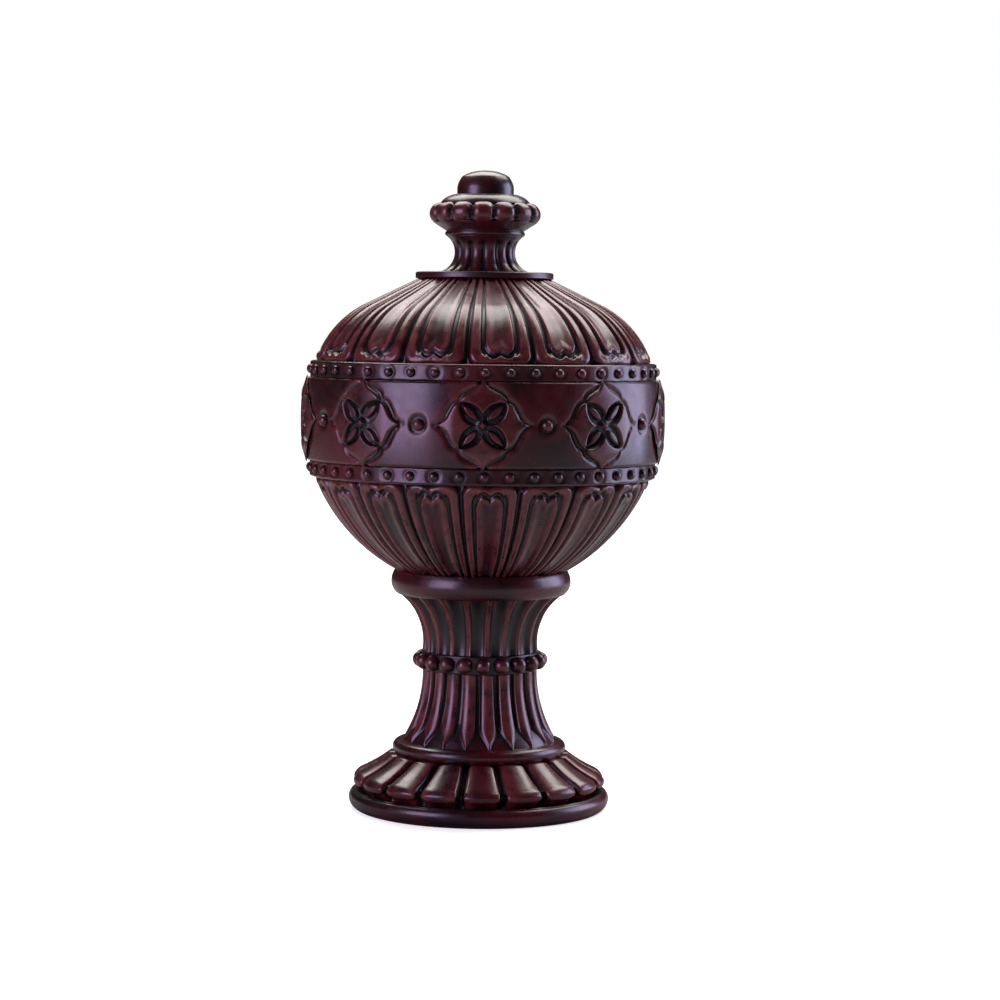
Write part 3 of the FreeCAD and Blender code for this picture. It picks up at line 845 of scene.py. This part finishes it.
def carveReeds(angles, along, radius, height):
    half = math.pi * radius / crown["reeds"]
    wide = np.abs(sector(angles, crown["reeds"], crown["reedTurn"])) * 2 * half
    fade = smooth(along, *crown["reedStart"]) * (1 - smooth(along, *crown["reedEnd"]))
    return -fade * crown["reedDepth"] * (1 - rounded(wide, half * 1.02))


def carveLobes(angles, along, radius, height):
    across = 2 * np.abs(sector(angles, crown["lobes"], crown["lobeTurn"]))
    fade = 0.45 + 0.55 * smooth(along, 0.0, 0.8) * (1 - 0.7 * smooth(along, *crown["lobeEnd"]))
    return -fade * crown["lobeDepth"] * across ** crown["lobeCurve"]


turnPiece("crownNeck", crown["neckRun"], crown["columns"], crown["pitch"], carveReeds, crown["neckPaintedShade"])
turnPiece("crownCup", crown["cupRun"], crown["plainColumns"], crown["pitch"], paintedShade=crown["cupPaintedShade"])
turnPiece("crownKnob", crown["knobRun"], crown["columns"], crown["pitch"], carveLobes)
turnPiece("crownShoulder", crown["shoulderRun"], crown["plainColumns"], crown["pitch"])
turnPiece("crownDome", crown["domeRun"], crown["domeColumns"], crown["pitch"])
print("crown", flush=True)


# Insert

insertLook = {
    "brass": (0.62, 0.43, 0.17, 1),
    "dull": (0.40, 0.27, 0.11, 1),
    "roughness": (0.42, 0.24),
    "cloudScale": 260.0,
    "toolLineScale": 900.0,
    "bump": 0.15,
    "bumpHeight": 0.00005,
}


def makeBrass():
    # Turned brass with fine tool lines round the axis
    material, tree, shader = newMaterial("turnedBrass")
    place = addNode(tree, "ShaderNodeTexCoord").outputs["Object"]
    cloud = noise(tree, place, insertLook["cloudScale"])
    colour = mixColour(tree, remap(tree, cloud, 0.35, 0.65), insertLook["dull"], insertLook["brass"])
    tree.links.new(colour, shader.inputs["Base Color"])
    tree.links.new(remap(tree, cloud, 0.3, 0.7, *insertLook["roughness"]), shader.inputs["Roughness"])
    shader.inputs["Metallic"].default_value = 1.0
    lines = addNode(tree, "ShaderNodeTexWave", wave_type="RINGS", rings_direction="Z")
    tree.links.new(place, lines.inputs["Vector"])
    lines.inputs["Scale"].default_value = insertLook["toolLineScale"]
    addBump(tree, shader, lines.outputs["Fac"], insertLook)
    return material


insertMesh = bpy.data.objects["threaded_insert"].data
insertMesh.materials.clear()
insertMesh.materials.append(makeBrass())
print("insert", flush=True)


# Studio

studio = {
    "left": {"place": (-0.46, -0.39, 0.11), "size": (0.34, 0.56), "power": 2.2, "colour": (0.80, 0.58, 1.0)},
    "right": {"place": (0.58, 0.15, 0.12), "size": (0.42, 0.56), "power": 2.6, "colour": (0.68, 0.65, 1.0)},
    "top": {"place": (0.06, 0.31, 0.68), "size": (1.0, 0.56), "power": 7.2, "colour": (1.0, 0.95, 0.92)},
    "lampAim": (0, 0, 0.06),
    "fill": (0.026, 0.024, 0.028, 1),
    "white": (1, 1, 1, 1),
    "floorSize": 6.0,
    "floorPale": (0.9, 0.9, 0.9, 1),
    "floorDim": (0.38, 0.37, 0.37, 1),
    "glowReach": (0.06, 0.7),  # The floor's glow to the camera rises with the distance from the object
    "glow": (0.72, 1.2),
    "cameraDistance": 0.53,
    "cameraHeight": 0.096,
    "aim": (0.0036, 0.0, 0.0616),
    "focal": 96.0,
    "sensor": 36.0,
    "roll": 0.7,
}


def addLamp(name, look):
    light = bpy.data.lights.new(name, "AREA")
    light.shape = "RECTANGLE"
    light.size, light.size_y = look["size"]
    light.energy = look["power"]
    light.color = look["colour"]
    lamp = bpy.data.objects.new(name, light)
    lamp.location = look["place"]
    direction = Vector(studio["lampAim"]) - Vector(look["place"])
    lamp.rotation_euler = direction.to_track_quat("-Z", "Y").to_euler()
    scene.collection.objects.link(lamp)


def makeFloorPaper():
    # Pale paper that is dimmer to everything but the camera, so that it lights the object little
    material, tree, shader = newMaterial("floorPaper")
    seen = addNode(tree, "ShaderNodeLightPath").outputs["Is Camera Ray"]
    away = addNode(tree, "ShaderNodeVectorMath", operation="LENGTH")
    tree.links.new(addNode(tree, "ShaderNodeTexCoord").outputs["Object"], away.inputs[0])
    glow = remap(tree, away.outputs["Value"], *studio["glowReach"], *studio["glow"])
    colour = mixColour(tree, seen, studio["floorDim"], studio["floorPale"])
    tree.links.new(colour, shader.inputs["Base Color"])
    tree.links.new(calculate(tree, "MULTIPLY", seen, glow), shader.inputs["Emission Strength"])
    shader.inputs["Emission Color"].default_value = studio["white"]
    shader.inputs["Roughness"].default_value = 0.9
    shader.inputs["Specular IOR Level"].default_value = 0.0
    return material


def layFloor():
    build = bmesh.new()
    bmesh.ops.create_grid(build, x_segments=2, y_segments=2, size=studio["floorSize"] / 2)
    mesh = bpy.data.meshes.new("floor")
    build.to_mesh(mesh)
    build.free()
    mesh.materials.append(makeFloorPaper())
    floor = bpy.data.objects.new("floor", mesh)
    scene.collection.objects.link(floor)


def makeWorld():
    world = bpy.data.worlds.new("studioWorld")
    world.use_nodes = True
    tree = world.node_tree
    seen = addNode(tree, "ShaderNodeLightPath").outputs["Is Camera Ray"]
    colour = mixColour(tree, seen, studio["fill"], studio["white"])
    tree.links.new(colour, tree.nodes["Background"].inputs["Color"])
    scene.world = world


def placeCamera():
    camera = bpy.data.objects.new("camera", bpy.data.cameras.new("camera"))
    camera.data.lens = studio["focal"]
    camera.data.sensor_width = studio["sensor"]
    aim = Vector(studio["aim"])
    camera.location = (aim.x, -studio["cameraDistance"], studio["cameraHeight"])
    look = (aim - camera.location).to_track_quat("-Z", "Y").to_matrix()
    roll = Matrix.Rotation(math.radians(studio["roll"]), 3, "Z")
    camera.rotation_euler = (look @ roll).to_euler()
    scene.collection.objects.link(camera)
    scene.camera = camera


for side in ("left", "right", "top"):
    addLamp(side + "Light", studio[side])
layFloor()
makeWorld()
placeCamera()
scene.view_settings.view_transform = "Standard"
print("studio", flush=True)
